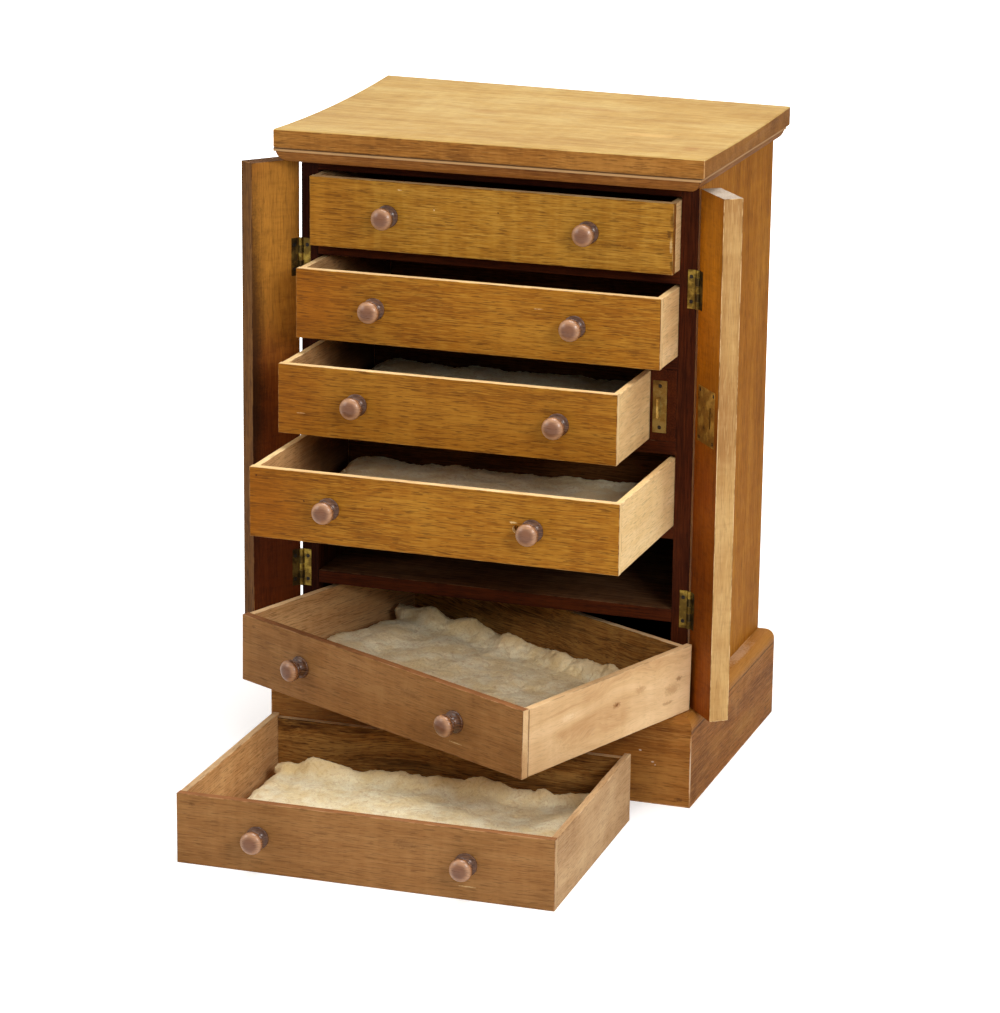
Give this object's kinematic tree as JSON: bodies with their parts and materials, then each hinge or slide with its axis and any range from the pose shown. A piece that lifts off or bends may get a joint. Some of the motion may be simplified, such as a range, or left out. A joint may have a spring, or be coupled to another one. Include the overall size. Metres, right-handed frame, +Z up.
{
  "type": "collectors cabinet",
  "caption": "Table-top wooden collectors cabinet with shallow drawers on turned knobs, overhanging moulded top, plinth and hinged locking stiles with brass butts and a lock.",
  "frame": {"origin": "under the middle of the front board of the plinth, on the surface the cabinet stands on", "axes": "+X to the cabinet's right, +Y to its back, +Z up"},
  "size_m": [0.4801, 0.6067, 0.6135],
  "materials": {
    "top_mahogany": "worn wax polish, honey brown",
    "case_mahogany": "worn wax polish, red brown",
    "plinth_mahogany": "worn wax polish, brown",
    "flap_mahogany": "waxed, dark red brown",
    "front_mahogany": "worn wax polish, golden brown",
    "drawer_wood": "bare, pale tan",
    "inner_wood": "bare, darkened",
    "turned_knob": "gloss polish",
    "brass": "aged, dull",
    "cotton_wool": "cream cotton wool"
  },
  "bodies": {
    "case": {"top_board": "top_mahogany", "top_moulding": "top_mahogany", "side_left": "case_mahogany", "side_right": "case_mahogany", "case_top": "inner_wood", "top_rail": "case_mahogany", "back_panel": "inner_wood", "bottom_board": "case_mahogany", "dust_board_1": "case_mahogany", "dust_board_2": "case_mahogany", "dust_board_3": "case_mahogany", "dust_board_4": "case_mahogany", "dust_board_5": "case_mahogany", "keep_block": "case_mahogany", "keep_plate": "brass", "plinth_front": "plinth_mahogany", "plinth_left": "plinth_mahogany", "plinth_right": "plinth_mahogany", "plinth_ledge": "plinth_mahogany", "case_hinge_leaves": "brass", "hinge_pins": "brass", "case_screws": "brass"},
    "left_flap": {"flap_left": "flap_mahogany", "flap_left_leaves": "brass", "flap_left_screws": "brass"},
    "right_flap": {"flap_right": "flap_mahogany", "flap_right_leaves": "brass", "flap_right_screws": "brass", "lock_case": "brass", "key_escutcheon": "brass"},
    "bolt": {"lock_bolt": "brass"},
    "drawer_1": {"drawer_1_front": "front_mahogany", "drawer_1_walls": "drawer_wood", "drawer_1_bottom": "drawer_wood", "drawer_1_knobs": "turned_knob"},
    "drawer_2": {"drawer_2_front": "front_mahogany", "drawer_2_walls": "drawer_wood", "drawer_2_bottom": "drawer_wood", "drawer_2_knobs": "turned_knob"},
    "drawer_3": {"drawer_3_front": "front_mahogany", "drawer_3_walls": "drawer_wood", "drawer_3_bottom": "drawer_wood", "drawer_3_knobs": "turned_knob", "drawer_3_bed": "cotton_wool"},
    "drawer_4": {"drawer_4_front": "front_mahogany", "drawer_4_walls": "drawer_wood", "drawer_4_bottom": "drawer_wood", "drawer_4_knobs": "turned_knob", "drawer_4_bed": "cotton_wool"},
    "drawer_5": {"drawer_5_front": "front_mahogany", "drawer_5_walls": "drawer_wood", "drawer_5_bottom": "drawer_wood", "drawer_5_knobs": "turned_knob", "drawer_5_bed": "cotton_wool"},
    "drawer_6": {"drawer_6_front": "front_mahogany", "drawer_6_walls": "drawer_wood", "drawer_6_bottom": "drawer_wood", "drawer_6_knobs": "turned_knob", "drawer_6_bed": "cotton_wool"}
  },
  "joints": [
    {"name": "right_flap_hinge", "type": "hinge", "parent": "case", "child": "right_flap", "pos_m": [0.1927, 0.02975, 0], "axis": [0, 0, 1], "range_deg": [-8, 50]},
    {"name": "left_flap_hinge", "type": "hinge", "parent": "case", "child": "left_flap", "pos_m": [-0.1927, 0.02975, 0], "axis": [0, 0, -1], "range_deg": [-26, 50]},
    {"name": "lock_bolt_slide", "type": "slide", "parent": "right_flap", "child": "bolt", "axis": [0.6293, -0.7771, 0], "range_m": [0, 0.004]},
    {"name": "drawer_1_slide", "type": "slide", "parent": "case", "child": "drawer_1", "axis": [0, -1, 0], "range_m": [-0.0227, 0.1773]},
    {"name": "drawer_2_slide", "type": "slide", "parent": "case", "child": "drawer_2", "axis": [0, -1, 0], "range_m": [-0.057, 0.143]},
    {"name": "drawer_3_slide", "type": "slide", "parent": "case", "child": "drawer_3", "axis": [0, -1, 0], "range_m": [-0.1013, 0.0987]},
    {"name": "drawer_4_slide", "type": "slide", "parent": "case", "child": "drawer_4", "axis": [0, -1, 0], "range_m": [-0.1705, 0.0295]},
    {"name": "drawer_5_slide", "type": "slide", "parent": "case", "child": "drawer_5", "axis": [-0.3867, -0.9218, -0.0283], "range_m": [0, 0.1]},
    {"name": "drawer_6_slide", "type": "slide", "parent": "case", "child": "drawer_6", "axis": [0.0192, -0.9998, 0], "range_m": [-0.045, 0.15]}
  ]
}
